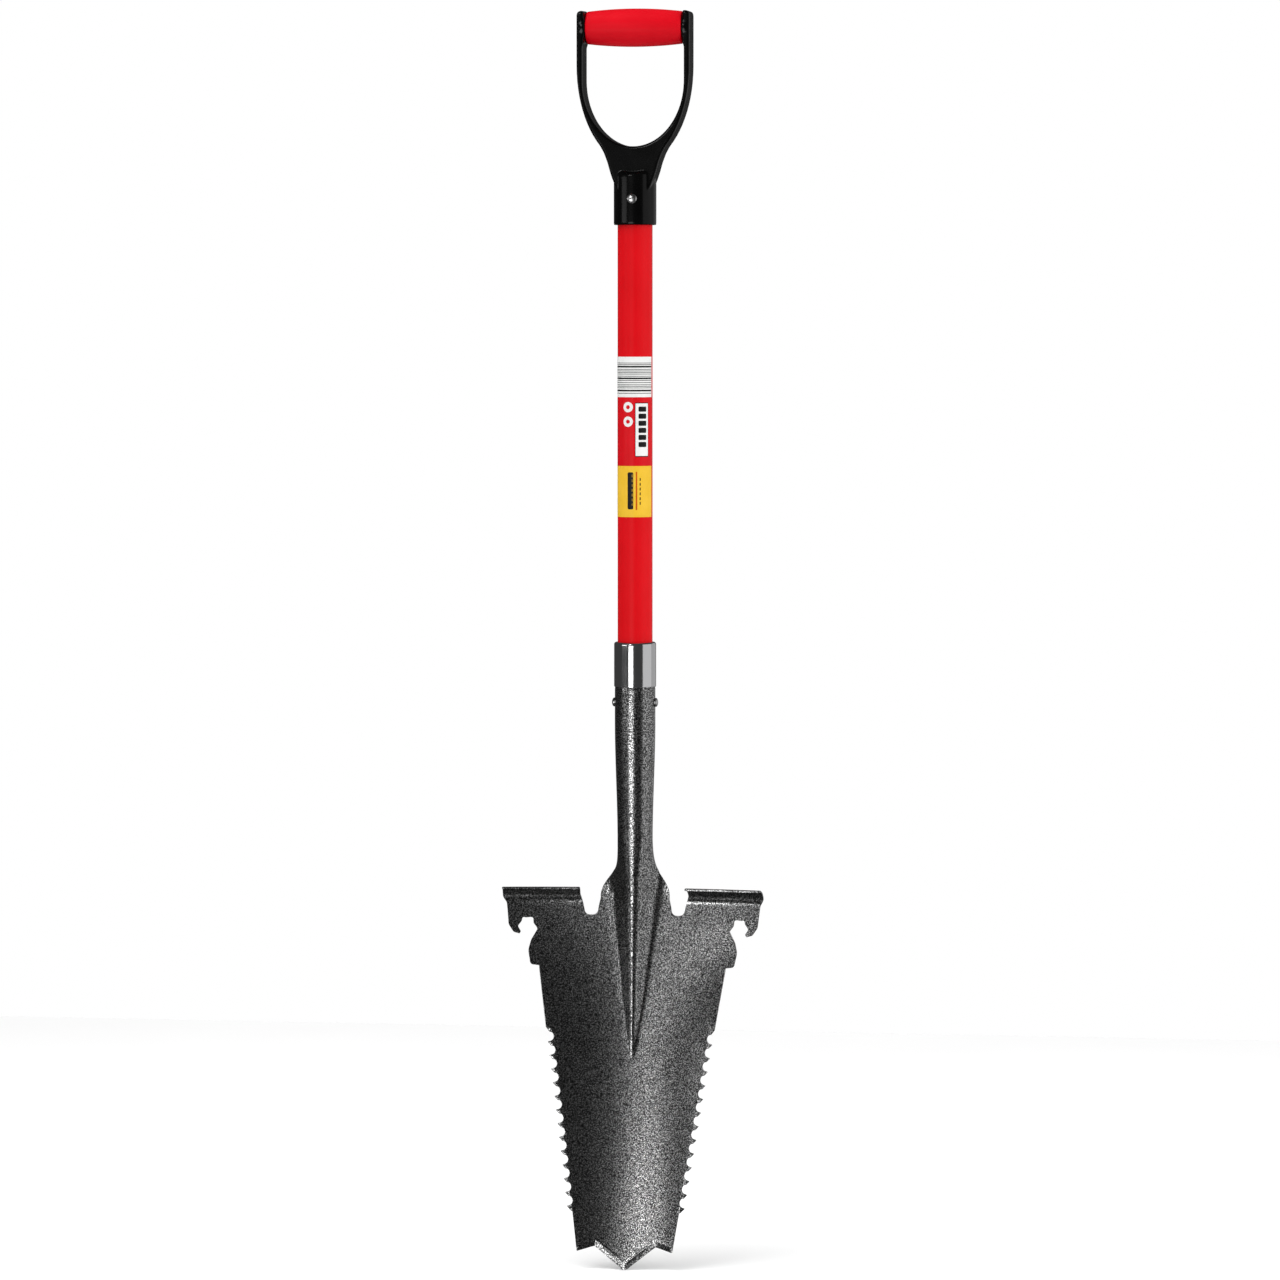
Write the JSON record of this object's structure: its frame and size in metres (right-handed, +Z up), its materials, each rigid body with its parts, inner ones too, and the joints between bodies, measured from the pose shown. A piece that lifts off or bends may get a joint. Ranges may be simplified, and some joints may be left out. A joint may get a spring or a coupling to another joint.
{
  "type": "garden spade",
  "caption": "Narrow dished garden spade with serrated edges, side hooks, forward-turned treads, a rolled socket, a straight round shaft and a D handle.",
  "frame": {"origin": "under the middle of the whole spade, level with the point of the blade; the shaft's axis stands 19.7 mm behind it", "axes": "+Z up along the shaft towards the D handle, -Y the way the hollow face of the blade looks, +X to the right of someone facing that hollow face"},
  "size_m": [0.222, 0.0793, 1.05],
  "materials": {
    "hammered_paint": "hammertone, dark silver",
    "bright_steel": "bright plated",
    "rivet_steel": "plain domed",
    "red_coating": "smooth gloss coating",
    "core_wood": "plain turned plug",
    "black_plastic": "moulded, half gloss",
    "red_grip": "moulded, satin",
    "label_yellow": "printed film",
    "label_red": "printed film",
    "label_white": "printed film"
  },
  "bodies": {
    "root": {"blade": "hammered_paint", "ferrule": "bright_steel", "socket_rivet": "rivet_steel", "shaft": "red_coating", "lower_core": "core_wood", "upper_core": "core_wood", "handle_yoke": "black_plastic", "grip_sleeve": "red_grip", "handle_rivet": "rivet_steel", "label_lower": "label_yellow", "label_middle": "label_red", "label_upper": "label_white"}
  },
  "joints": []
}
